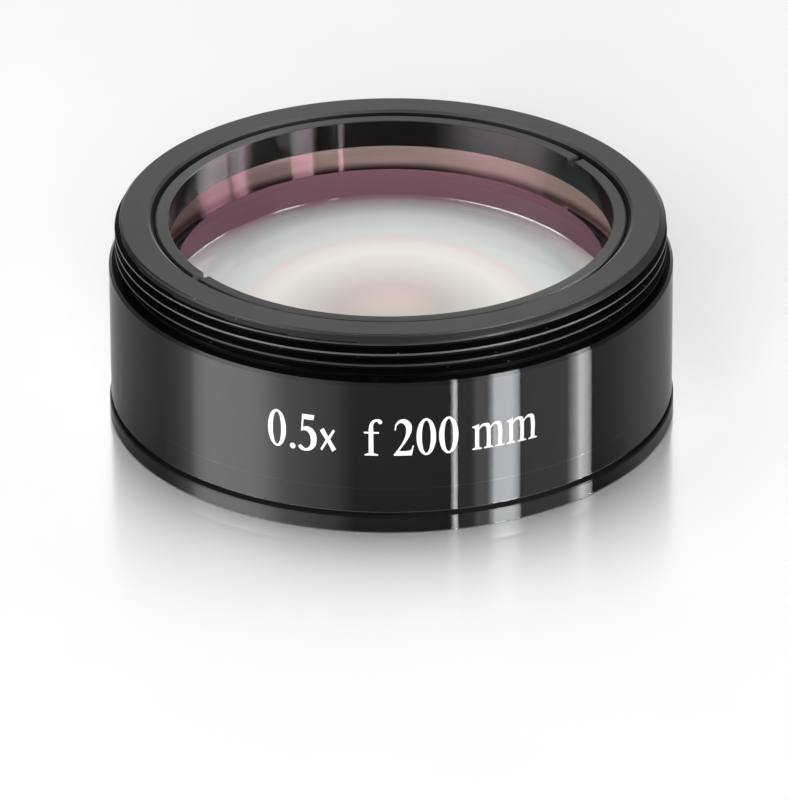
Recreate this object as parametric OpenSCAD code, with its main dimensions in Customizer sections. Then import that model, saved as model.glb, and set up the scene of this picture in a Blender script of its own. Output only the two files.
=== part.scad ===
// Screw-in objective for a stereo microscope, standing on its front ring with the thread up.
// Millimetres. +Z is the optical axis, towards the microscope. z = 0 is the front face.

/* [Barrel] */
// Outside diameter of the barrel
barrel_d = 49.1; // [40:0.1:60]
// Height of the whole objective
total_h = 18.4; // [16:0.1:22]
// Chamfer on the edge of the shoulder
shoulder_chamfer = 0.25; // [0.1:0.05:0.4]
// Height of the plain land that was turned last, above the front ring
lower_land_h = 2.35; // [1:0.05:4]
// How far that land lies under the barrel's surface
lower_land_drop = 0.02; // [0.01:0.01:0.1]

/* [Mounting thread] */
// Width of the shoulder, from the crests of the male thread to the barrel's surface
shoulder_w = 0.55; // [0.5:0.05:1.2]
// Pitch of the male thread
thread_pitch = 1; // [0.75:0.25:1]
// Height of the threaded neck above the shoulder
thread_h = 4.2; // [4.1:0.1:6]
// 45 degree chamfer that leads the thread in
lead_chamfer = 0.6; // [0.3:0.1:0.8]

/* [Retaining ring] */
// Wall between the crests of the male thread and the thread of the retaining ring
mouth_wall = 3; // [2:0.1:4]
// Height of the ring
ring_h = 2.6; // [2:0.1:3.4]
// How far the ring reaches in over the lens
ring_overlap = 0.9; // [0.7:0.1:2]
// How far the ring's face lies under the barrel's top face
ring_recess = 0.2; // [0.1:0.05:0.6]
// Chamfer on the ring's outer edge
ring_chamfer = 0.5; // [0.2:0.05:0.7]
// Width of the two spanner slots
slot_w = 0.9; // [0.6:0.1:2]
// Depth of the two spanner slots
slot_depth = 0.5; // [0.3:0.05:1]
// Direction of the line through both slots, from +X
slot_angle = 35; // [0:1:179]

/* [Lens] */
// How far the lens's rim lies inside the thread of the retaining ring
lens_inset = 0.5; // [0.3:0.05:0.8]
// Radius of the crown's upper surface, bulging up
upper_r = 115; // [90:1:200]
// Radius of the cemented surface, bulging down
cement_r = 65; // [50:1:120]
// Radius of the flint's lower surface, bulging down
lower_r = 300; // [200:5:600]
// The crown's share of the lens's thickness
crown_share = 0.61; // [0.5:0.01:0.66]
// Bevel on the lens's upper and lower rims
lens_bevel = 0.15; // [0.05:0.05:0.2]

/* [Front ring] */
// How far the front ring stands out past the barrel's surface
rim_proud = 0.11; // [0.02:0.01:1]
// Height of the front ring's visible rim
front_rim_h = 1.4; // [0.9:0.1:2.4]
// Height of the dark seam above the rim
seam_h = 0.45; // [0.2:0.05:0.8]
// Depth of the seam, from the barrel's surface
seam_depth = 0.85; // [0.4:0.05:1.4]
// Distance from the barrel's surface in to the spigot's thread
spigot_inset = 2.05; // [1.6:0.05:3]
// Height of the spigot above the seam
spigot_h = 0.8; // [0.5:0.05:1.6]
// Bevel inside the front ring's mouth
mouth_bevel = 0.5; // [0.2:0.1:1]

/* [Lens seat] */
// How far the seat reaches in under the lens
seat_w = 0.7; // [0.4:0.1:2]
// Thickness of the seat
seat_t = 0.5; // [0.4:0.1:1.5]

/* [Fits] */
// Radial clearance of the two inner threads
thread_clearance = 0.05; // [0.02:0.01:0.15]
// Radial clearance of the lens in its bore
lens_clearance = 0.04; // [0.02:0.01:0.1]
// Air left where the lens meets a metal seat, and in the cement line
seat_gap = 0.02; // [0.01:0.01:0.1]
// Room left at the blind end of each inner thread
thread_runout = 0.3; // [0.2:0.05:0.35]
// Small edge break on turned corners
edge_break = 0.12; // [0.05:0.01:0.2]

/* [Hidden] */
$fn = 180;

// Facets of the large circles that the lens surfaces are cut from
lens_fn = 720;
// How far a cut runs past the face that it opens
overcut = 1;

// A metric thread's depth and crest width, as shares of its pitch
thread_depth = 0.6134 * thread_pitch;
crest_w = thread_pitch / 8;
flank_h = thread_depth * tan(30);

// Radii, from the barrel's surface inwards
barrel_r = barrel_d / 2;
thread_r = barrel_r - shoulder_w;
root_r = thread_r - thread_depth;
mouth_r = thread_r - mouth_wall;
mouth_chamfer = 2 * edge_break;
ring_r = mouth_r - thread_clearance;
lens_r = mouth_r - lens_inset;
lens_bore_r = lens_r + lens_clearance;
lens_bevel_w = 2 * lens_bevel;
ring_bore_r = lens_r - ring_overlap;
clear_r = lens_r - seat_w;
land_r = barrel_r - lower_land_drop;
front_r = barrel_r + rim_proud;
seam_r = barrel_r - seam_depth;
recess_r = barrel_r - spigot_inset;
spigot_r = recess_r - thread_clearance;

// Heights, from the front face up to the lens seat
seam_top_z = front_rim_h + seam_h;
land_top_z = seam_top_z + lower_land_h;
spigot_top_z = seam_top_z + spigot_h;
recess_top_z = spigot_top_z + thread_runout;
lens_seat_z = recess_top_z + seat_t;

// Heights, from the top face down to the retaining ring
shoulder_z = total_h - thread_h;
first_crest_z = total_h - lead_chamfer - crest_w / 2;
crests = floor((first_crest_z - flank_h - crest_w / 2 - shoulder_z) / thread_pitch) + 1;
ring_top_z = total_h - ring_recess;
ring_bottom_z = ring_top_z - ring_h;
ring_end_z = ring_bottom_z - thread_runout;

// The lens fills the height between its seat and the retaining ring
upper_vertex_z = ring_bottom_z - seat_gap + sag(upper_r, ring_bore_r);
lower_vertex_z = lens_seat_z + seat_gap - sag(lower_r, clear_r);
lens_t = upper_vertex_z - lower_vertex_z;
cement_vertex_z = upper_vertex_z - crown_share * lens_t;
flint_vertex_z = cement_vertex_z - seat_gap;

// Depth of a spherical cap of radius r at distance x from its axis
function sag(r, x) = r - sqrt(r * r - x * x);

// One thread tooth, walked downwards from its upper root
function tooth(z) = [
    [root_r, z + crest_w / 2 + flank_h],
    [thread_r, z + crest_w / 2],
    [thread_r, z - crest_w / 2],
    [root_r, z - crest_w / 2 - flank_h]
];

// Section of the barrel's outside, filled in to the axis; the lead chamfer cuts the first tooth
module barrel_outline() {
    teeth = [for (i = [0:crests - 1]) each tooth(first_crest_z - i * thread_pitch)];
    polygon(concat(
        [[0, total_h], [thread_r - lead_chamfer, total_h]],
        [for (i = [1:len(teeth) - 1]) teeth[i]],
        [[root_r, shoulder_z], [barrel_r - shoulder_chamfer, shoulder_z]],
        [[barrel_r, shoulder_z - shoulder_chamfer], [barrel_r, land_top_z]],
        [[land_r, land_top_z], [land_r, seam_top_z + edge_break]],
        [[land_r - edge_break, seam_top_z], [0, seam_top_z]]
    ));
}

// Section of everything that is bored out of the barrel
module barrel_bores() {
    polygon([
        [0, total_h + overcut],
        [mouth_r + mouth_chamfer + overcut, total_h + overcut],
        [mouth_r + mouth_chamfer, total_h],
        [mouth_r, total_h - mouth_chamfer],
        [mouth_r, ring_end_z],
        [lens_bore_r, ring_end_z],
        [lens_bore_r, lens_seat_z],
        [clear_r, lens_seat_z],
        [clear_r, recess_top_z],
        [recess_r, recess_top_z],
        [recess_r, seam_top_z - overcut],
        [0, seam_top_z - overcut]
    ]);
}

module barrel() {
    color([0.06, 0.06, 0.065])
        rotate_extrude()
            difference() {
                barrel_outline();
                barrel_bores();
            }
}

// Section of the retaining ring, with its outer chamfer and small breaks on the bore
module retaining_ring_section() {
    polygon([
        [ring_bore_r + edge_break, ring_top_z],
        [ring_r - ring_chamfer, ring_top_z],
        [ring_r, ring_top_z - ring_chamfer],
        [ring_r, ring_bottom_z + edge_break],
        [ring_r - edge_break, ring_bottom_z],
        [ring_bore_r, ring_bottom_z],
        [ring_bore_r, ring_top_z - edge_break]
    ]);
}

// Two opposite slots for a pin spanner, cut right across the ring's face
module spanner_slots() {
    rotate(slot_angle)
        translate([-mouth_r, -slot_w / 2, ring_top_z - slot_depth])
            cube([2 * mouth_r, slot_w, slot_depth + overcut]);
}

module retaining_ring() {
    color([0.1, 0.1, 0.1])
        difference() {
            rotate_extrude() retaining_ring_section();
            spanner_slots();
        }
}

// Section of the sphere that a lens surface lies on
module sphere_section(centre_z, curve_r) {
    translate([0, centre_z]) circle(r = curve_r, $fn = lens_fn);
}

// Section of the crown: a biconvex element with a bevelled upper rim
module crown_section() {
    rim_z = upper_vertex_z - sag(upper_r, lens_r);
    intersection() {
        sphere_section(upper_vertex_z - upper_r, upper_r);
        sphere_section(cement_vertex_z + cement_r, cement_r);
        polygon([
            [0, cement_vertex_z - overcut],
            [lens_r, cement_vertex_z - overcut],
            [lens_r, rim_z - lens_bevel],
            [lens_r - lens_bevel_w, rim_z + lens_bevel],
            [lens_r - lens_bevel_w, upper_vertex_z + overcut],
            [0, upper_vertex_z + overcut]
        ]);
    }
}

module crown_lens() {
    color([0.86, 0.9, 0.88, 0.5]) rotate_extrude() crown_section();
}

// Section of the flint: a meniscus cemented under the crown, with a bevelled lower rim
module flint_section() {
    rim_z = lower_vertex_z + sag(lower_r, lens_r);
    rim_top_z = flint_vertex_z + sag(cement_r, lens_r);
    difference() {
        intersection() {
            sphere_section(lower_vertex_z + lower_r, lower_r);
            polygon([
                [0, lower_vertex_z - overcut],
                [lens_r - lens_bevel_w, lower_vertex_z - overcut],
                [lens_r - lens_bevel_w, rim_z - lens_bevel],
                [lens_r, rim_z + lens_bevel],
                [lens_r, rim_top_z],
                [0, rim_top_z]
            ]);
        }
        sphere_section(flint_vertex_z + cement_r, cement_r);
    }
}

module flint_lens() {
    color([0.9, 0.8, 0.86, 0.5]) rotate_extrude() flint_section();
}

// Section of the front ring: rim, neck in the seam, threaded spigot and bevelled mouth
module front_ring_section() {
    polygon([
        [clear_r + mouth_bevel, 0],
        [front_r - edge_break, 0],
        [front_r, edge_break],
        [front_r, front_rim_h - edge_break],
        [front_r - edge_break, front_rim_h],
        [seam_r, front_rim_h],
        [seam_r, seam_top_z],
        [spigot_r, seam_top_z],
        [spigot_r, spigot_top_z - edge_break],
        [spigot_r - edge_break, spigot_top_z],
        [clear_r, spigot_top_z],
        [clear_r, mouth_bevel]
    ]);
}

module front_ring() {
    color([0.06, 0.06, 0.065]) rotate_extrude() front_ring_section();
}

barrel();
retaining_ring();
crown_lens();
flint_lens();
front_ring();
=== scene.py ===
import math

import bmesh
import bpy
from mathutils import Matrix, Vector


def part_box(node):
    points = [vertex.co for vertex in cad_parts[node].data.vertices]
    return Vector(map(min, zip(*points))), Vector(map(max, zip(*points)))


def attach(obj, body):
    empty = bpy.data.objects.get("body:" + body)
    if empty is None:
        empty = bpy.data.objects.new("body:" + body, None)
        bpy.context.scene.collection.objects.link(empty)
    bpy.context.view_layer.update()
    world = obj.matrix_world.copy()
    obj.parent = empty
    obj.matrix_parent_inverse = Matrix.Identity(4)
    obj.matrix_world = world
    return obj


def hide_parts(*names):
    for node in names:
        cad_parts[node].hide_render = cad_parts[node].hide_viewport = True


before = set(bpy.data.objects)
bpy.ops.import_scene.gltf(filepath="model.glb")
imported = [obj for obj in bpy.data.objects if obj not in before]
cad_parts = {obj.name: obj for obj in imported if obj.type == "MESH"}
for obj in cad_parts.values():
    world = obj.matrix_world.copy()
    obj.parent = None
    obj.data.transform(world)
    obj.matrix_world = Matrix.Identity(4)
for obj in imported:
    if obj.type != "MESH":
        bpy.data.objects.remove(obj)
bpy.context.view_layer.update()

# The object is written in millimetres and degrees, and scaled on the way into Blender. The floor and the
# lamps are in metres.
MM = 0.001
SEGMENTS = 512


def top_of(node):
    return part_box(node)[1].z / MM


def foot_of(node):
    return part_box(node)[0].z / MM


def radius_of(node):
    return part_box(node)[1].x / MM


# Sizes from the frame
barrel_r = radius_of("barrel")
total_h = top_of("barrel")
seam_top_z = foot_of("barrel")
ring_bottom_z = foot_of("retaining_ring")
lens_r = radius_of("crown_lens")
upper_vertex_z = top_of("crown_lens")
cement_vertex_z = foot_of("crown_lens")
lower_vertex_z = foot_of("flint_lens")
front_r = radius_of("front_ring")
spigot_top_z = top_of("front_ring")

# Sizes that the boxes don't give, as in the CAD part
shoulder_w = 0.55
shoulder_chamfer = 0.25
thread_pitch = 1.0
thread_h = 4.2
lead_chamfer = 0.6
slot_w = 0.9
slot_depth = 0.5
slot_angle = 35
upper_r = 115
cement_r = 65
lower_r = 300
lens_bevel = 0.15
lower_land_h = 2.35
lower_land_drop = 0.02
front_rim_h = 1.4
seam_depth = 0.85
spigot_inset = 2.05
seat_w = 0.7
seat_t = 0.5
mouth_bevel = 0.5
thread_clearance = 0.05
lens_clearance = 0.04
seat_gap = 0.02
thread_runout = 0.3
edge_break = 0.12

thread_r = barrel_r - shoulder_w
thread_depth = 0.6134 * thread_pitch
root_r = thread_r - thread_depth
crest_w = thread_pitch / 8
flank_angle = math.radians(30)
shoulder_z = total_h - thread_h
land_top_z = seam_top_z + lower_land_h
clear_r = lens_r - seat_w
seam_r = barrel_r - seam_depth
recess_r = barrel_r - spigot_inset
spigot_r = recess_r - thread_clearance
recess_top_z = spigot_top_z + thread_runout
lens_seat_z = recess_top_z + seat_t
flint_vertex_z = cement_vertex_z - seat_gap


def sag(curve_r, x):
    """Depth of a spherical cap at distance x from its axis."""
    return curve_r - math.sqrt(curve_r * curve_r - x * x)


# The mouth and the retaining ring as measured on the photograph. They lie a little further in than the CAD
# solids, with a wider chamfer between the barrel's face and the ring. The ring still seats on the lens.
mouth_r = 20.55
mouth_chamfer = 0.55
mouth_lip = 0.22
ring_bore_r = 19.35
ring_recess = 0.3
ring_chamfer = 0.15
ring_bore_break = edge_break / 2
ring_r = mouth_r - thread_clearance
ring_top_z = total_h - ring_recess
ring_foot_z = upper_vertex_z - sag(upper_r, ring_bore_r) + seat_gap


class Graph:
    """The node tree of a material, a world or a lamp, with short calls to add and join nodes."""

    def __init__(self, owner):
        owner.use_nodes = True
        self.tree = owner.node_tree
        self.tree.nodes.clear()

    def add(self, kind, inputs=None, **settings):
        node = self.tree.nodes.new(kind)
        for key, value in settings.items():
            setattr(node, key, value)
        for key, value in (inputs or {}).items():
            self.feed(node.inputs[key], value)
        return node

    def feed(self, socket, value):
        if isinstance(value, bpy.types.NodeSocket):
            self.tree.links.new(value, socket)
        elif socket.type == "RGBA":
            socket.default_value = (*value, 1.0)
        else:
            socket.default_value = value

    def end(self, shader, output="ShaderNodeOutputMaterial"):
        self.tree.links.new(shader, self.add(output).inputs["Surface"])

    def math(self, operation, a, b=0.0, clamp=False):
        return self.add("ShaderNodeMath", {0: a, 1: b}, operation=operation, use_clamp=clamp).outputs[0]

    def times(self, a, b, clamp=False):
        return self.math("MULTIPLY", a, b, clamp)

    def ramp(self, value, low, high, out_low=0.0, out_high=1.0, smooth=False):
        """Takes low to out_low and high to out_high, and holds them outside that range."""
        ends = {"Value": value, "From Min": low, "From Max": high, "To Min": out_low, "To Max": out_high}
        curve = "SMOOTHSTEP" if smooth else "LINEAR"
        return self.add("ShaderNodeMapRange", ends, clamp=True, interpolation_type=curve).outputs["Result"]

    def band(self, value, rise_from, rise_to, fall_from, fall_to, rest=0.0):
        """Rises smoothly from 0 to 1, and falls again to the rest."""
        rise = self.ramp(value, rise_from, rise_to, smooth=True)
        fall = self.ramp(value, fall_from, fall_to, 1.0, rest, smooth=True)
        return self.times(rise, fall)

    def mix_colour(self, factor, a, b):
        node = self.add("ShaderNodeMix", {"Factor": factor}, data_type="RGBA")
        for key, value in (("A", a), ("B", b)):
            sockets = [s for s in node.inputs if s.name == key and s.type == "RGBA"]
            self.feed(sockets[0], value)
        return [s for s in node.outputs if s.type == "RGBA"][0]

    def stops(self, value, points):
        """A colour ramp through (position, red, green, blue) points."""
        node = self.add("ShaderNodeValToRGB", {"Fac": value})
        ramp = node.color_ramp
        while len(ramp.elements) < len(points):
            ramp.elements.new(1.0)
        for element, (position, *colour) in zip(ramp.elements, points):
            element.position = position
            element.color = (*colour, 1.0)
        return node.outputs["Color"]

    def mix(self, factor, a, b):
        return self.add("ShaderNodeMixShader", {0: factor, 1: a, 2: b}).outputs[0]

    def diffuse(self, colour, **inputs):
        return self.add("ShaderNodeBsdfDiffuse", {"Color": colour, **inputs}).outputs[0]

    def glossy(self, colour, roughness, lobe="GGX", **inputs):
        values = {"Color": colour, "Roughness": roughness, **inputs}
        return self.add("ShaderNodeBsdfAnisotropic", values, distribution=lobe).outputs[0]

    def fresnel(self, ior):
        return self.add("ShaderNodeFresnel", {"IOR": ior}).outputs[0]

    def bend(self, colour, ior):
        values = {"Color": colour, "IOR": ior, "Roughness": 0.0}
        return self.add("ShaderNodeBsdfRefraction", values).outputs[0]

    def clear(self, colour):
        return self.add("ShaderNodeBsdfTransparent", {"Color": colour}).outputs[0]

    def let_through(self, surface, colour):
        """Shadow and diffuse rays pass the surface unbent, so that light reaches what is inside."""
        path = self.add("ShaderNodeLightPath").outputs
        straight = self.math("MAXIMUM", path["Is Shadow Ray"], path["Is Diffuse Ray"])
        return self.mix(straight, surface, self.clear(colour))

    def noise(self, vector, scale, detail=2.0, roughness=0.5):
        inputs = {"Vector": vector, "Scale": scale, "Detail": detail, "Roughness": roughness}
        return self.add("ShaderNodeTexNoise", inputs).outputs["Fac"]

    def place(self):
        """The point in the piece's own space, in metres."""
        return self.add("ShaderNodeTexCoord").outputs["Object"]

    def split(self, vector):
        return self.add("ShaderNodeSeparateXYZ", {"Vector": vector}).outputs

    def from_axis(self, x, y):
        return self.math("SQRT", self.math("ADD", self.times(x, x), self.times(y, y)))

    def turned(self, around=0.002):
        """Coordinates in which a noise becomes the fine rings that a turning tool leaves."""
        x, y, z = self.split(self.place())
        angle = self.math("ARCTAN2", y, x)
        parts = {"X": self.from_axis(x, y), "Y": z, "Z": self.times(angle, around)}
        return self.add("ShaderNodeCombineXYZ", parts).outputs[0]

    def round_axis(self):
        """The direction round the axis, which stretches a gloss across the turning rings."""
        return self.add("ShaderNodeTangent", direction_type="RADIAL", axis="Z").outputs[0]


def material(name):
    mat = bpy.data.materials.new(name)
    return mat, Graph(mat)


def shades(colour, darker, lighter):
    return [c * darker for c in colour], [c * lighter for c in colour]


# A noise stays between these values nearly everywhere.
NOISE_LOW = 0.3
NOISE_HIGH = 0.7

# Noise scales of the finishes, in grains to a metre
RING_SCALE = 9000.0
BROAD_RING_SCALE = 900.0
CLOUD_SCALE = 260.0
DUST_SCALE = 2600.0

DUST_COLOUR = (0.3, 0.3, 0.29)
DUST_LOW = 0.72
DUST_HIGH = 0.76
BROAD_AROUND = 0.3
RING_SHARE = 0.6
RING_BUMP = 0.00002
GLOSS_SPREAD = 0.06
GLOSS_BLUE = 1.02


def anodised(name, colour, sheen, roughness, anisotropy, grain=0.25, ior=1.5, bump=0.3, lobe="GGX", dust=0.0,
             polish=None):
    """Black anodised aluminium: a dark coat, and a gloss that the turning rings smear across themselves.

    polish adds a finer gloss over it, as its share, its roughness and its anisotropy.
    """
    mat, g = material(name)
    rings = g.noise(g.turned(), RING_SCALE, detail=3.0, roughness=0.6)
    broad = g.noise(g.turned(BROAD_AROUND), BROAD_RING_SCALE)
    cloud = g.noise(g.place(), CLOUD_SCALE, detail=4.0, roughness=0.6)
    uneven = g.math("ADD", g.times(rings, RING_SHARE), g.times(cloud, 1 - RING_SHARE))
    base = g.mix_colour(g.ramp(uneven, NOISE_LOW, NOISE_HIGH), *shades(colour, 1 - grain, 1 + grain))
    if dust:
        grit = g.noise(g.place(), DUST_SCALE, roughness=0.6)
        specks = g.ramp(grit, DUST_LOW, DUST_HIGH)
        base = g.mix_colour(g.times(specks, dust), base, DUST_COLOUR)
    lift = g.add("ShaderNodeBump", {"Strength": bump, "Distance": RING_BUMP, "Height": rings}).outputs[0]
    body = g.diffuse(base, Normal=lift)
    tangent = g.round_axis()
    least, most = roughness * (1 - GLOSS_SPREAD), roughness * (1 + GLOSS_SPREAD)
    smear = g.ramp(broad, NOISE_LOW, NOISE_HIGH, least, most)
    tone = (sheen, sheen, sheen * GLOSS_BLUE)
    gloss = g.glossy(tone, smear, lobe, Anisotropy=anisotropy, Tangent=tangent, Normal=lift)
    if polish:
        share, finer, stretch = polish
        fine = g.glossy((sheen, sheen, sheen), finer, lobe, Anisotropy=stretch, Tangent=tangent)
        gloss = g.mix(share, gloss, fine)
    g.end(g.mix(g.fresnel(ior), body, gloss))
    return mat


# Each finish has its coat's colour, and then its gloss's strength, roughness and anisotropy.
side = anodised("anodised_side", (0.0061, 0.0063, 0.0061), 0.8, 0.196, 1.0, bump=0.0, lobe="BECKMANN")
top = anodised("anodised_top", (0.0158, 0.0158, 0.0148), 1.0, 0.5, 0.2, grain=0.35, bump=0.5)
ring_top = anodised("anodised_ring_top", (0.0145, 0.0145, 0.0135), 0.95, 0.45, 0.3, grain=0.35, bump=0.5)
inner = anodised("anodised_inner", (0.001, 0.0012, 0.001), 1.0, 0.19, 0.95, ior=1.46, bump=0.0,
                 lobe="BECKMANN", polish=(0.78, 0.12, 0.873))
dark = anodised("anodised_dark", (0.0015, 0.0015, 0.0015), 0.4, 0.5, 0.3, ior=1.35)
# Painted shade: the thread's flanks and roots and the shoulder face get a near-black coat and a weak gloss,
# for the shade in the grooves. The specks are dust.
shaded_thread = anodised("anodised_thread_shaded", (0.0008, 0.0008, 0.0008), 0.2, 0.35, 0.3, ior=1.35, dust=0.3)
# Painted highlight: the upper crests of the thread get a much lighter coat than the side, with dust specks.
lit_crest = anodised("anodised_crest_highlight", (0.045, 0.045, 0.0435), 1.0, 0.4, 0.4, ior=1.6, dust=0.8)
# Painted shade: a darker, duller copy of the top finish for the chamfers and edge breaks, with dust specks.
# On the thread's middle crests it stands for a weaker painted highlight.
shaded_edge = anodised("anodised_edge_shaded", (0.008, 0.008, 0.0075), 0.75, 0.45, 0.3, grain=0.35, bump=0.5, dust=0.4)

FILM_SCALE = 60.0
FILM_LOW = 0.35
FILM_HIGH = 0.65
FILM_DARKER = 0.94


def glass(name, ior, film, through, strength):
    """A polished surface with a coloured coating. The strength is its share of a bare surface's mirror."""
    mat, g = material(name)
    thickness = g.ramp(g.noise(g.place(), FILM_SCALE), FILM_LOW, FILM_HIGH)
    coating = g.mix_colour(thickness, *shades(film, FILM_DARKER, 1.0))
    share = g.times(g.fresnel(ior), strength, clamp=True)
    lens = g.mix(share, g.bend(through, ior), g.glossy(coating, 0.0))
    g.end(g.let_through(lens, (0.9, 0.93, 0.92)))
    return mat


def cement_face(name, ior=None):
    """One side of the cemented surface. With an ior it bends light, by the two glasses' ratio."""
    mat, g = material(name)
    white = (1.0, 1.0, 1.0)
    g.end(g.let_through(g.bend(white, ior), white) if ior else g.clear(white))
    return mat


def ground_edge(name):
    """The lens's fine-ground rim, seen through the glass, with painted shade at its foot, less at the two
    sides.
    """
    colour = (0.5, 0.32, 0.3)
    foot_shade = (0.028, 0.012, 0.015)
    foot_shade_aside = (0.26, 0.13, 0.14)
    foot_z, unshaded_z = 3.8, 7.6
    aside_power = 3.0
    gloss_colour = (1.0, 0.72, 0.78)
    gloss_share = 0.03
    ring_scale, cloud_scale = 5000.0, 180.0
    mat, g = material(name)
    rings = g.noise(g.turned(), ring_scale, detail=3.0, roughness=0.6)
    cloud = g.ramp(g.noise(g.place(), cloud_scale, detail=3.0), NOISE_LOW, NOISE_HIGH)
    shade = g.mix_colour(cloud, *shades(colour, 0.85, 1.1))
    # Painted shade: the rim darkens towards its foot, where the seat shades it, and less towards the two
    # sides. The gloss fades out with it.
    x, _, z = g.split(g.place())
    unshaded = g.ramp(z, foot_z * MM, unshaded_z * MM, smooth=True)
    aside = g.math("POWER", g.math("ABSOLUTE", g.math("DIVIDE", x, lens_r * MM)), aside_power)
    shade = g.mix_colour(unshaded, g.mix_colour(aside, foot_shade, foot_shade_aside), shade)
    smear = g.ramp(rings, NOISE_LOW, NOISE_HIGH, 0.24, 0.3)
    gloss = g.glossy(gloss_colour, smear, Anisotropy=0.8, Tangent=g.round_axis())
    g.end(g.mix(g.times(unshaded, gloss_share), g.diffuse(shade), gloss))
    return mat


crown_n = 1.517
flint_n = 1.67
upper_glass = glass("coated_upper", crown_n, (1.0, 0.47, 0.63), (0.93, 1.0, 0.975), 1.0)
lower_glass = glass("coated_lower", flint_n, (1.0, 0.8, 0.82), (0.96, 1.0, 0.98), 0.3)
cement_clear = cement_face("cement_clear")
cement_bend = cement_face("cement_bend", flint_n / crown_n)
rim_glass = ground_edge("ground_rim")


def paint():
    """The white paint of the marking."""
    mat, g = material("white_paint")
    grain = g.noise(g.place(), RING_SCALE, detail=3.0)
    shade = g.mix_colour(g.ramp(grain, NOISE_LOW, NOISE_HIGH), (0.9, 0.9, 0.88), (0.97, 0.97, 0.96))
    lift = g.add("ShaderNodeBump", {"Strength": 0.2, "Distance": 0.00001, "Height": grain}).outputs[0]
    coat = g.add("ShaderNodeBsdfPrincipled", {"Base Color": shade, "Roughness": 0.45, "Normal": lift})
    g.end(coat.outputs[0])
    return mat


def new_object(name):
    """An object with an empty mesh, in the scene."""
    obj = bpy.data.objects.new(name, bpy.data.meshes.new(name))
    bpy.context.scene.collection.objects.link(obj)
    return obj


def give_materials(obj, wanted):
    """Gives the object each material once, in order, and returns them."""
    mats = []
    for mat in wanted:
        if mat not in mats:
            mats.append(mat)
            obj.data.materials.append(mat)
    return mats


def polar(r, angle, z):
    return r * math.cos(angle) * MM, r * math.sin(angle) * MM, z * MM


# Points closer than the first are joined, and an edge shorter than the second carries no face. In metres.
SAME_POINT = 1e-7
NO_LENGTH = 1e-8
SHARP_ANGLE = 18
CUT_SHARP_ANGLE = 25


def finish_mesh(bm, obj, sharp=SHARP_ANGLE):
    """Cleans the mesh, turns its faces outwards and shades it smooth up to the sharp angle."""
    bmesh.ops.remove_doubles(bm, verts=bm.verts, dist=SAME_POINT)
    bmesh.ops.dissolve_degenerate(bm, edges=bm.edges, dist=SAME_POINT)
    bmesh.ops.recalc_face_normals(bm, faces=bm.faces)
    bm.to_mesh(obj.data)
    bm.free()
    for face in obj.data.polygons:
        face.use_smooth = True
    obj.data.set_sharp_from_angle(angle=math.radians(sharp))


def lathe(name, outline, replaced):
    """Revolves a closed outline of (radius, height, material of the face after it) round the axis."""
    obj = new_object(name)
    mats = give_materials(obj, [mat for _, _, mat in outline])
    bm = bmesh.new()
    columns = []
    for i in range(SEGMENTS):
        angle = 2 * math.pi * i / SEGMENTS
        columns.append([bm.verts.new(polar(r, angle, z)) for r, z, _ in outline])
    count = len(outline)
    for i in range(SEGMENTS):
        a, b = columns[i], columns[(i + 1) % SEGMENTS]
        for j in range(count):
            k = (j + 1) % count
            face = bm.faces.new((a[j], a[k], b[k], b[j]))
            face.material_index = mats.index(outline[j][2])
    finish_mesh(bm, obj)
    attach(obj, "root")
    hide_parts(replaced)


def arc(curve_r, vertex_z, up, r0, r1, steps, mat):
    """Points of a spherical surface from radius r0 to r1; up is 1 where it bulges up."""
    points = []
    for i in range(steps + 1):
        r = r0 + (r1 - r0) * i / steps
        points.append((r, vertex_z - up * sag(curve_r, r), mat))
    return points


# The male thread: a true right-hand helix where the CAD solid has rings. It rises out of its core above the
# shoulder. Crests near the top have a painted highlight, a bright coat, the ones below them a weaker one in
# the shaded edge finish, and the last ones none.
# thread_start is the share of a turn by which the helix is turned to match the photograph.
rows_per_pitch = 24
thread_relief_h = 0.35
thread_rise_h = 0.25
thread_start = 0.83
chamfer_margin = 0.02
highlight_margin = 0.15
highlight_depth = 2.3
dim_highlight_depth = 3.1
crest_band = 0.1
land_step = 0.02
thread_low_z = shoulder_z + thread_relief_h
chamfer_low_z = total_h - lead_chamfer - chamfer_margin
highlight_top_z = chamfer_low_z - highlight_margin
highlight_low_z = total_h - highlight_depth
dim_highlight_low_z = total_h - dim_highlight_depth


def thread_radius(phase):
    """The thread's radius at a height, given in pitches from the middle of a crest."""
    away = abs((phase + 0.5) % 1.0 - 0.5) * thread_pitch
    if away < crest_w / 2:
        return thread_r
    return max(root_r, thread_r - (away - crest_w / 2) / math.tan(flank_angle))


def thread_points(turn):
    """The points up the thread at a share of a turn round the axis. Rows follow the helix."""
    top_row = int((total_h - thread_low_z) / thread_pitch * rows_per_pitch) + 1
    points = []
    for row in range(-rows_per_pitch, top_row + 1):
        z = thread_low_z + (row / rows_per_pitch + turn) * thread_pitch
        z = min(max(z, thread_low_z), total_h)
        r = thread_radius((z - total_h + lead_chamfer) / thread_pitch - turn + thread_start)
        r = root_r + (r - root_r) * min(1.0, (z - thread_low_z) / thread_rise_h)
        points.append((min(r, thread_r - lead_chamfer + total_h - z), z))
    return points


def thread_finish(corners):
    """The material of one face of the thread."""
    low_z = min(v.co.z for v in corners) / MM
    if low_z > chamfer_low_z:
        return shaded_edge
    on_crest = all(math.hypot(*v.co.xy) > (thread_r - crest_band) * MM for v in corners)
    # Painted highlight: crests in the upper band take the lit crest finish, those below it the weaker shaded
    # edge finish, the rest the shaded thread finish.
    if on_crest and highlight_low_z < low_z < highlight_top_z:
        return lit_crest
    if on_crest and low_z > dim_highlight_low_z:
        return shaded_edge
    return shaded_thread


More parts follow.
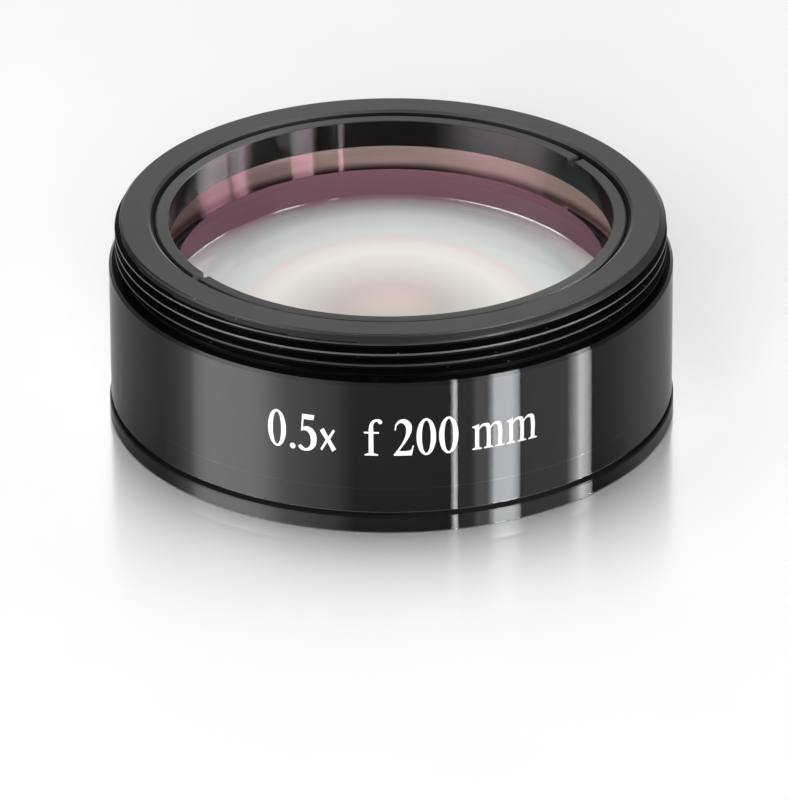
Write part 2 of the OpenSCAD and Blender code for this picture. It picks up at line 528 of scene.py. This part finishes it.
def barrel_outline():
    """The barrel's section from the top face down the bores and up the outside, to the thread's foot."""
    mouth_foot_z = ring_bottom_z - thread_runout
    lens_bore_r = lens_r + lens_clearance
    land_r = barrel_r - lower_land_drop
    return [
        (thread_r - lead_chamfer, total_h, top),
        (mouth_r + mouth_chamfer, total_h, top),
        (mouth_r + mouth_chamfer - mouth_lip, total_h - mouth_lip, dark),
        (mouth_r, total_h - mouth_chamfer, dark),
        (mouth_r, mouth_foot_z, dark),
        (lens_bore_r, mouth_foot_z, dark),
        (lens_bore_r, lens_seat_z, dark),
        (clear_r, lens_seat_z, dark),
        (clear_r, recess_top_z, dark),
        (recess_r, recess_top_z, dark),
        (recess_r, seam_top_z, dark),
        (land_r - edge_break, seam_top_z, side),
        (land_r, seam_top_z + edge_break, side),
        (land_r, land_top_z - land_step, side),
        (barrel_r, land_top_z, side),
        (barrel_r, shoulder_z - shoulder_chamfer, side),
        (barrel_r - shoulder_chamfer, shoulder_z, shaded_thread),
        (root_r, shoulder_z, shaded_thread),
        (root_r, thread_low_z, shaded_thread),
    ]


def make_barrel():
    """The barrel. Its section changes round the axis, as the thread climbs."""
    outline = barrel_outline()
    obj = new_object("barrel_turned")
    mats = give_materials(obj, [mat for _, _, mat in outline] + [lit_crest, shaded_edge])
    bm = bmesh.new()
    columns = []
    for i in range(SEGMENTS + 1):
        turn = i / SEGMENTS
        points = [(r, z) for r, z, _ in outline] + thread_points(turn)
        columns.append([bm.verts.new(polar(r, 2 * math.pi * turn, z)) for r, z in points])
    count = len(columns[0])
    for i in range(SEGMENTS):
        a, b = columns[i], columns[i + 1]
        for j in range(count):
            k = (j + 1) % count
            if max((a[j].co - a[k].co).length, (b[j].co - b[k].co).length) < NO_LENGTH:
                continue
            corners = (a[j], a[k], b[k], b[j])
            mat = outline[j][2] if j < len(outline) else thread_finish(corners)
            bm.faces.new(corners).material_index = mats.index(mat)
    finish_mesh(bm, obj, CUT_SHARP_ANGLE)
    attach(obj, "root")
    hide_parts("barrel")


make_barrel()

lathe("front_rim", [
    (clear_r + mouth_bevel, 0, side),
    (front_r - edge_break, 0, side),
    (front_r, edge_break, side),
    (front_r, front_rim_h - edge_break, side),
    (front_r - edge_break, front_rim_h, dark),
    (seam_r, front_rim_h, dark),
    (seam_r, seam_top_z, dark),
    (spigot_r, seam_top_z, dark),
    (spigot_r, spigot_top_z, dark),
    (clear_r, spigot_top_z, dark),
    (clear_r, mouth_bevel, side),
], "front_ring")


def slotted_columns(full, cut):
    """The ring's upright sections in order round the axis, each with what follows it: slot, wall or full."""
    half = SEGMENTS // 2
    columns = []
    for start in (math.radians(slot_angle), math.radians(slot_angle) + math.pi):
        columns.append(("slot", [(start + math.asin(-slot_w / 2 / r), r, z) for r, z, _ in cut]))
        columns.append(("slot", [(start, r, z) for r, z, _ in cut]))
        columns.append(("wall", [(start + math.asin(slot_w / 2 / r), r, z) for r, z, _ in cut]))
        for i in range(half + 1):
            column = []
            for r, z, _ in full:
                half_gap = math.asin(slot_w / 2 / r)
                column.append((start + half_gap + (math.pi - 2 * half_gap) * i / half, r, z))
            columns.append(("full" if i < half else "wall", column))
    return columns


def make_retaining_ring():
    """The ring, with its two spanner slots cut across the face."""
    obj = new_object("slotted_ring")
    mats = give_materials(obj, [ring_top, inner, shaded_edge])
    full = [
        (ring_bore_r + ring_bore_break, ring_top_z, ring_top),
        (ring_r - ring_chamfer, ring_top_z, shaded_edge),
        (ring_r, ring_top_z - ring_chamfer, inner),
        (ring_r, ring_foot_z + edge_break, inner),
        (ring_r - edge_break, ring_foot_z, inner),
        (ring_bore_r, ring_foot_z, inner),
        (ring_bore_r, ring_top_z - ring_bore_break, shaded_edge),
    ]
    floor_z = ring_top_z - slot_depth
    cut = [(r, min(z, floor_z), mat) for r, z, mat in full]
    columns = slotted_columns(full, cut)
    bm = bmesh.new()
    verts = [[bm.verts.new(polar(r, angle, z)) for angle, r, z in column] for _, column in columns]
    for i, (kind, _) in enumerate(columns):
        a, b = verts[i], verts[(i + 1) % len(verts)]
        for j in range(len(full)):
            k = (j + 1) % len(full)
            corners = []
            for v in (a[j], a[k], b[k], b[j]):
                if all((v.co - w.co).length > NO_LENGTH for w in corners):
                    corners.append(v)
            if len(corners) > 2:
                mat = ring_top if kind == "wall" else full[j][2]
                bm.faces.new(corners).material_index = mats.index(mat)
    finish_mesh(bm, obj, CUT_SHARP_ANGLE)
    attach(obj, "root")
    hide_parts("retaining_ring")


make_retaining_ring()


def make_lens():
    """The cemented pair. The crown's surfaces bulge up and down, and the flint hollows to fit it."""
    steps = 48
    bevel_w = 2 * lens_bevel
    rim_top = upper_vertex_z - sag(upper_r, lens_r)
    crown = arc(upper_r, upper_vertex_z, 1, 0.0, lens_r - bevel_w, steps, upper_glass)
    crown[-1] = (*crown[-1][:2], rim_glass)
    crown.append((lens_r, rim_top - lens_bevel, rim_glass))
    crown += arc(cement_r, cement_vertex_z, -1, lens_r, 0.0, steps, cement_clear)
    lathe("crown_element", crown, "crown_lens")
    rim_low = lower_vertex_z + sag(lower_r, lens_r)
    flint = arc(cement_r, flint_vertex_z, -1, 0.0, lens_r, steps, cement_bend)
    flint[-1] = (*flint[-1][:2], rim_glass)
    flint.append((lens_r, rim_low + lens_bevel, rim_glass))
    flint += arc(lower_r, lower_vertex_z, -1, lens_r - bevel_w, 0.0, steps, lower_glass)
    lathe("flint_element", flint, "flint_lens")


make_lens()

# The letters of the marking, drawn one by one. Each has its width, its form and the points (x, y, kind) of
# its outline. A point of kind c is a corner and one of kind s is smooth. The height of a capital is 1.
GLYPHS = {
    ".": (0.26, "dot", []),
    "0": (0.58, "oval", []),
    "5": (0.56, "", [
        (0.13, 1.0, "c"), (0.46, 1.0, "c"), (0.43, 0.86, "c"), (0.17, 0.86, "c"), (0.152, 0.645, "c"),
        (0.3, 0.67, "s"), (0.46, 0.55, "s"), (0.51, 0.34, "s"), (0.44, 0.1, "s"), (0.24, -0.01, "s"),
        (0.06, 0.03, "s"), (0.025, 0.1, "s"), (0.085, 0.14, "s"), (0.2, 0.06, "s"), (0.31, 0.11, "s"),
        (0.355, 0.31, "s"), (0.3, 0.5, "s"), (0.19, 0.555, "s"), (0.1, 0.52, "c")]),
    "2": (0.57, "", [
        (0.04, 0.7, "c"), (0.08, 0.89, "s"), (0.25, 1.01, "s"), (0.43, 0.92, "s"), (0.48, 0.74, "s"),
        (0.41, 0.52, "s"), (0.15, 0.13, "c"), (0.38, 0.13, "s"), (0.46, 0.16, "s"), (0.5, 0.27, "c"),
        (0.53, 0.27, "c"), (0.48, 0.0, "c"), (0.02, 0.0, "c"), (0.02, 0.03, "c"), (0.27, 0.42, "s"),
        (0.335, 0.68, "s"), (0.29, 0.86, "s"), (0.2, 0.905, "s"), (0.11, 0.85, "s"), (0.07, 0.7, "c")]),
    "x": (0.56, "", [
        (0.04, 0.6, "c"), (0.14, 0.68, "c"), (0.26, 0.45, "c"), (0.39, 0.66, "c"), (0.43, 0.62, "c"),
        (0.305, 0.385, "c"), (0.46, 0.12, "c"), (0.36, 0.04, "c"), (0.235, 0.3, "c"), (0.09, 0.05, "c"),
        (0.05, 0.09, "c"), (0.19, 0.355, "c")]),
    "f": (0.46, "", [
        (0.03, 0.0, "c"), (0.03, 0.03, "c"), (0.14, 0.07, "c"), (0.14, 0.61, "c"), (0.02, 0.61, "c"),
        (0.02, 0.655, "c"), (0.14, 0.655, "c"), (0.15, 0.78, "s"), (0.21, 0.94, "s"), (0.36, 1.01, "s"),
        (0.47, 0.97, "s"), (0.47, 0.89, "s"), (0.41, 0.88, "s"), (0.35, 0.945, "s"), (0.28, 0.9, "s"),
        (0.26, 0.655, "c"), (0.4, 0.655, "c"), (0.4, 0.61, "c"), (0.26, 0.61, "c"), (0.26, 0.07, "c"),
        (0.38, 0.03, "c"), (0.38, 0.0, "c")]),
    "m": (0.93, "", [
        (0.02, 0.0, "c"), (0.02, 0.03, "c"), (0.09, 0.06, "c"), (0.09, 0.58, "c"), (0.02, 0.62, "c"),
        (0.02, 0.645, "c"), (0.2, 0.7, "c"), (0.2, 0.6, "c"), (0.28, 0.68, "s"), (0.37, 0.7, "s"),
        (0.46, 0.68, "s"), (0.505, 0.59, "c"), (0.6, 0.68, "s"), (0.69, 0.7, "s"), (0.78, 0.67, "s"),
        (0.82, 0.54, "s"), (0.82, 0.06, "c"), (0.89, 0.03, "c"), (0.89, 0.0, "c"), (0.64, 0.0, "c"),
        (0.64, 0.03, "c"), (0.71, 0.06, "c"), (0.71, 0.5, "s"), (0.69, 0.6, "s"), (0.64, 0.625, "s"),
        (0.57, 0.6, "s"), (0.51, 0.53, "c"), (0.51, 0.06, "c"), (0.58, 0.03, "c"), (0.58, 0.0, "c"),
        (0.33, 0.0, "c"), (0.33, 0.03, "c"), (0.4, 0.06, "c"), (0.4, 0.5, "s"), (0.38, 0.6, "s"),
        (0.33, 0.625, "s"), (0.26, 0.6, "s"), (0.2, 0.53, "c"), (0.2, 0.06, "c"), (0.27, 0.03, "c"),
        (0.27, 0.0, "c")]),
}
SPACE_W = 0.3


def oval(cx, cy, rx, ry, count=12):
    turn = 2 * math.pi / count
    return [(cx + rx * math.cos(i * turn), cy + ry * math.sin(i * turn), "s") for i in range(count)]


def outlines_of(letter):
    """The letter's width and its closed outlines."""
    width, form, points = GLYPHS[letter]
    if form == "dot":
        return width, [oval(0.13, 0.075, 0.075, 0.075)]
    if form == "oval":
        return width, [oval(0.28, 0.5, 0.25, 0.51), oval(0.28, 0.5, 0.115, 0.45)]
    return width, [points]


def flat_text(text):
    """The text as a flat mesh in capital heights, and its length."""
    curve = bpy.data.curves.new("marking_outline", "CURVE")
    curve.dimensions = "2D"
    curve.fill_mode = "BOTH"
    curve.resolution_u = 5
    pen = 0.0
    for letter in text:
        if letter == " ":
            pen += SPACE_W
            continue
        width, outlines = outlines_of(letter)
        for points in outlines:
            spline = curve.splines.new("BEZIER")
            spline.bezier_points.add(len(points) - 1)
            spline.use_cyclic_u = True
            for knot, (x, y, kind) in zip(spline.bezier_points, points):
                knot.co = (pen + x, y, 0)
                knot.handle_left_type = knot.handle_right_type = "VECTOR" if kind == "c" else "AUTO"
        pen += width
    drawn = bpy.data.objects.new("marking_outline", curve)
    bpy.context.scene.collection.objects.link(drawn)
    bpy.context.view_layer.update()
    flat = bpy.data.meshes.new_from_object(drawn.evaluated_get(bpy.context.evaluated_depsgraph_get()))
    bpy.data.objects.remove(drawn)
    bpy.data.curves.remove(curve)
    return flat, pen


marking_text = "0.5x  f 200 mm"
marking_low_z = 7.4
marking_cap_h = 3.45
marking_left = -25.7
marking_right = 30.6
marking_cuts = 110
paint_t = 0.012


def make_marking():
    """Prints the text round the front of the barrel, as a thin film of paint."""
    flat, length = flat_text(marking_text)
    bm = bmesh.new()
    bm.from_mesh(flat)
    bpy.data.meshes.remove(flat)
    for i in range(1, marking_cuts):
        geometry = bm.verts[:] + bm.edges[:] + bm.faces[:]
        at = (length * i / marking_cuts, 0, 0)
        bmesh.ops.bisect_plane(bm, geom=geometry, plane_co=at, plane_no=(1, 0, 0))
    paint_r = barrel_r + paint_t
    for vert in bm.verts:
        angle = math.radians(marking_left + (marking_right - marking_left) * vert.co.x / length)
        z = marking_low_z + vert.co.y * marking_cap_h
        vert.co = Vector((paint_r * math.sin(angle), -paint_r * math.cos(angle), z)) * MM
    bm.normal_update()
    outward = Vector((0, -1, 0))
    if sum(face.normal.dot(outward) for face in bm.faces) < 0:
        bmesh.ops.reverse_faces(bm, faces=bm.faces)
    obj = new_object("marking")
    bm.to_mesh(obj.data)
    bm.free()
    for face in obj.data.polygons:
        face.use_smooth = True
    obj.data.materials.append(paint())
    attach(obj, "root")


make_marking()

FLOOR_RADIUS = 4.0

# How the table mirrors the object: the share at its foot, its reach in the object's radii and its falling off
FLOOR_MIRROR = 0.74
FLOOR_MIRROR_REACH = 2.2
FLOOR_MIRROR_FALL = 3.4

# The soft rings of painted light on the table under the lens, an emission that only rays through the glass
# see, by share of this radius about the axis
POOL_RADIUS = 20
POOL_LIGHT = [
    (0.40, 0.53, 0.39, 0.35), (0.44, 0.43, 0.33, 0.335), (0.51, 0.54, 0.48, 0.46),
    (0.61, 0.74, 0.665, 0.625), (0.665, 0.72, 0.61, 0.6), (0.7, 0.66, 0.53, 0.54),
    (0.72, 0.56, 0.575, 0.565), (0.75, 0.56, 0.57, 0.565), (0.86, 0.40, 0.43, 0.43),
    (0.955, 0.08, 0.13, 0.115), (1.0, 0.0, 0.0, 0.0)]
POOL_SIDE = (1.0, 0.84, 0.83)
POOL_SIDE_SHARE = 0.5
POOL_SIDE_FROM = 17.5
POOL_SIDE_TO = 19.2
CAMERA_GLOW = (0.03, 0.03, 0.03)
FLOOR_CLOUD_SCALE = 40.0


def pool_light(g, x, radius):
    """Painted light: the glow of the table under the lens, paler towards the two sides of its rim."""
    rings = g.stops(g.times(radius, 1 / (POOL_RADIUS * MM)), POOL_LIGHT)
    aside = g.math("POWER", g.math("DIVIDE", g.math("ABSOLUTE", x), radius), 3.0)
    rim = g.ramp(radius, POOL_SIDE_FROM * MM, POOL_SIDE_TO * MM, 0.0, POOL_SIDE_SHARE, smooth=True)
    return g.mix_colour(g.times(aside, rim), rings, POOL_SIDE)


def make_floor():
    """A white table that mirrors the object softly near its foot, with a painted pool of light under the
    lens.
    """
    floor = new_object("floor")
    bm = bmesh.new()
    bmesh.ops.create_circle(bm, cap_ends=True, segments=96, radius=FLOOR_RADIUS)
    bm.to_mesh(floor.data)
    bm.free()
    mat, g = material("white_table")
    x, y, _ = g.split(g.place())
    radius = g.from_axis(x, y)
    near = g.ramp(radius, front_r * MM, FLOOR_MIRROR_REACH * front_r * MM, 1.0, 0.0)
    mirror = g.times(g.math("POWER", near, FLOOR_MIRROR_FALL), FLOOR_MIRROR)
    fine = g.ramp(g.noise(g.place(), FLOOR_CLOUD_SCALE, detail=3.0), NOISE_LOW, NOISE_HIGH)
    body = g.diffuse(g.mix_colour(fine, (0.9, 0.9, 0.9), (0.92, 0.92, 0.92)))
    surface = g.mix(mirror, body, g.glossy((1.0, 1.0, 1.0), 0.16))
    path = g.add("ShaderNodeLightPath").outputs
    # Painted light: rays through the glass see the table glow with the pool of light; camera rays see a
    # faint, even glow.
    plain = g.mix_colour(path["Is Camera Ray"], (0.0, 0.0, 0.0), CAMERA_GLOW)
    glow = g.mix_colour(path["Is Transmission Ray"], plain, pool_light(g, x, radius))
    emission = g.add("ShaderNodeEmission", {"Color": glow, "Strength": 1.0}).outputs[0]
    g.end(g.add("ShaderNodeAddShader", {0: surface, 1: emission}).outputs[0])
    floor.data.materials.append(mat)


make_floor()

# The world's light, with its edges in degrees: azimuths run from the front by the right, elevations from the
# horizon. Each band rises between its first two numbers and falls between the last two.
BACKDROP_AROUND = (140, 170, 190, 220)
BACKDROP_UP = (-6, -2, 26, 52)
BACKDROP_REST = 0.04
CARD_AROUND = (104, 116, 140, 150)
CARD_UP = (14, 20, 40, 48)
CARD_RADIANCE = 0.6
ROOM_UP = (48, 72)
ROOM_RADIANCE = (0.03, 0.34)


def make_world():
    """A white backdrop behind the object, a card beside it and a dim room. The camera sees plain white."""
    world = bpy.data.worlds.new("studio")
    bpy.context.scene.world = world
    g = Graph(world)
    degrees = 180 / math.pi
    x, y, z = g.split(g.add("ShaderNodeTexCoord").outputs["Generated"])
    azimuth = g.times(g.math("ARCTAN2", x, g.times(y, -1.0)), degrees)
    azimuth = g.math("ADD", azimuth, g.times(g.math("LESS_THAN", azimuth, 0.0), 360.0))
    elevation = g.times(g.math("ARCSINE", z), degrees)
    backdrop = g.times(g.band(azimuth, *BACKDROP_AROUND), g.band(elevation, *BACKDROP_UP, BACKDROP_REST))
    card = g.times(g.band(azimuth, *CARD_AROUND), g.band(elevation, *CARD_UP))
    lit = g.math("MAXIMUM", backdrop, g.times(card, CARD_RADIANCE))
    light = g.math("ADD", lit, g.ramp(elevation, *ROOM_UP, *ROOM_RADIANCE, smooth=True))
    grey = g.add("ShaderNodeCombineXYZ", {"X": light, "Y": light, "Z": light}).outputs[0]
    to_camera = g.add("ShaderNodeLightPath").outputs["Is Camera Ray"]
    seen = g.mix_colour(to_camera, grey, (1.0, 1.0, 1.0))
    background = g.add("ShaderNodeBackground", {"Color": seen, "Strength": 1.0}).outputs[0]
    g.end(background, "ShaderNodeOutputWorld")


make_world()


def lamp_object(name, width, height, radiance, away, place):
    """An area lamp at a place, facing back along the direction away."""
    lamp = bpy.data.lights.new(name, "AREA")
    lamp.shape = "RECTANGLE"
    lamp.size = width
    lamp.size_y = height
    lamp.energy = radiance * math.pi * width * height
    obj = bpy.data.objects.new(name, lamp)
    bpy.context.scene.collection.objects.link(obj)
    obj.visible_camera = False
    obj.matrix_world = Matrix.Translation(place) @ away.to_track_quat("Z", "Y").to_matrix().to_4x4()
    return obj


PANEL_DISTANCE = 1.6
PANEL_TOP = 30
SOFT_BOX_TOP = 36
WHITE = (1.0, 1.0, 1.0)


def studio_panel(name, left, right, radiance, lit, tint=WHITE, top_angle=PANEL_TOP, fade=None):
    """An upright light panel on the table, between two azimuths, which only the lit pieces mirror."""
    middle = math.radians((left + right) / 2)
    width = 2 * PANEL_DISTANCE * math.tan(math.radians((right - left) / 2))
    height = PANEL_DISTANCE * math.tan(math.radians(top_angle))
    away = Vector((math.sin(middle), -math.cos(middle), 0))
    place = away * PANEL_DISTANCE + Vector((0, 0, height / 2))
    obj = lamp_object(name, width, height, radiance, away, place)
    obj.visible_diffuse = False
    obj.data.color = tint
    receivers = bpy.data.collections.new(name + "_lights")
    for piece in lit:
        receivers.objects.link(bpy.data.objects[piece])
    obj.light_linking.receiver_collection = receivers
    if fade:
        g = Graph(obj.data)
        across = g.split(g.add("ShaderNodeNewGeometry").outputs["Parametric"])[0]
        glow = g.stops(across, [(at, value, value, value) for at, value in fade])
        emission = g.add("ShaderNodeEmission", {"Color": glow, "Strength": 1.0}).outputs[0]
        g.end(emission, "ShaderNodeOutputLight")


def soft_lamp(name, azimuth, elevation, distance, size, radiance):
    """A soft light for the pale surfaces, which the metal doesn't mirror."""
    a, e = math.radians(azimuth), math.radians(elevation)
    away = Vector((math.sin(a) * math.cos(e), -math.cos(a) * math.cos(e), math.sin(e)))
    obj = lamp_object(name, size, size, radiance, away, away * distance)
    obj.visible_glossy = False
    obj.visible_transmission = False


# What the barrel mirrors on its outside, and what the ring and the lens mirror inside, from nearly the same
# azimuths. A strip has two azimuths and a radiance for the outside, the same for the inside, and its tint.
# A fade gives the light across a panel, from one upright edge to the other.
OUTSIDE = ["barrel_turned", "front_rim"]
INSIDE = ["slotted_ring", "crown_element"]
STRIPS = {
    "thin_strip": ((23.8, 25.2, 98.0), (24.2, 26.6, 64.0), (0.97, 0.98, 1.0)),
    "wide_strip": ((39.5, 50.4, 66.0), (40.2, 51.8, 63.0), (0.94, 0.99, 1.0)),
    "side_strip": ((77.1, 83.3, 46.0), (79.2, 87.8, 58.0), (0.98, 0.98, 1.0)),
}
SIDE_CARD_FADE = [(0.0, 0.9), (0.5, 1.0), (0.8, 0.8), (1.0, 0.1)]
SOFT_BOX_OUTSIDE_FADE = [
    (0.0, 0.0), (0.11, 0.05), (0.175, 0.13), (0.235, 0.28), (0.262, 0.74), (0.34, 0.85), (0.53, 0.94),
    (0.57, 0.76), (0.63, 0.46), (0.67, 0.39), (0.81, 0.28), (0.89, 0.2), (0.94, 0.09), (1.0, 0.0)]
SOFT_BOX_INSIDE_FADE = [(0.0, 0.58), (0.36, 0.96), (0.55, 0.95), (0.9, 0.25), (1.0, 0.0)]

for strip, (outside, inside, strip_tint) in STRIPS.items():
    studio_panel(strip + "_outside", *outside, OUTSIDE, strip_tint)
    studio_panel(strip + "_inside", *inside, INSIDE, strip_tint)
studio_panel("front_glow", 25.8, 38.8, 1.6, OUTSIDE)
studio_panel("right_glow", 51.2, 77.0, 3.0, OUTSIDE)
studio_panel("side_card", 90.5, 116.0, 40.0, INSIDE, fade=SIDE_CARD_FADE)
studio_panel("strip_glow", 32.3, 39.5, 6.0, OUTSIDE)
studio_panel("soft_box_outside", -101.0, -14.5, 15.6, OUTSIDE, WHITE, SOFT_BOX_TOP, SOFT_BOX_OUTSIDE_FADE)
studio_panel("soft_box_inside", -86.0, -22.0, 15.6, INSIDE, WHITE, SOFT_BOX_TOP, SOFT_BOX_INSIDE_FADE)
soft_lamp("overhead", azimuth=-100, elevation=74, distance=1.5, size=1.5, radiance=1.93)
soft_lamp("front_fill", azimuth=-10, elevation=26, distance=1.6, size=1.2, radiance=6.2)

# The camera, with lengths in millimetres and the photograph's own pixels
photo_long_side = 800
focal_px = 10383.3
sensor_w = 36.0
camera_distance = 906.0
camera_elevation = 26.51
camera_roll = 0.2975
look_at = Vector((0, 0, 8.593))
photo_centre = (394.0, 400.0)
look_at_px = (391.24, 314.56)
clip_near = 0.05
clip_far = 50


def make_camera():
    """Aims the camera so that the point look_at falls on its pixel of the photograph."""
    e, roll = math.radians(camera_elevation), math.radians(camera_roll)
    back = Vector((0, -math.cos(e), math.sin(e)))
    right = Vector((1, 0, 0))
    up = Vector((0, math.sin(e), math.cos(e)))
    rolled_right = right * math.cos(roll) - up * math.sin(roll)
    rolled_up = right * math.sin(roll) + up * math.cos(roll)
    off_x = photo_centre[0] - look_at_px[0]
    off_y = look_at_px[1] - photo_centre[1]
    forward = (-back * focal_px + rolled_right * off_x + rolled_up * off_y).normalized()
    true_right = forward.cross(rolled_up).normalized()
    true_up = true_right.cross(forward)
    camera = bpy.data.cameras.new("camera")
    camera.sensor_width = sensor_w
    camera.lens = focal_px / photo_long_side * sensor_w
    camera.clip_start = clip_near
    camera.clip_end = clip_far
    obj = bpy.data.objects.new("camera", camera)
    bpy.context.scene.collection.objects.link(obj)
    turn = Matrix((true_right, true_up, -forward)).transposed().to_4x4()
    obj.matrix_world = Matrix.Translation((look_at + back * camera_distance) * MM) @ turn
    bpy.context.scene.camera = obj


make_camera()

bpy.context.scene.view_settings.view_transform = "Standard"
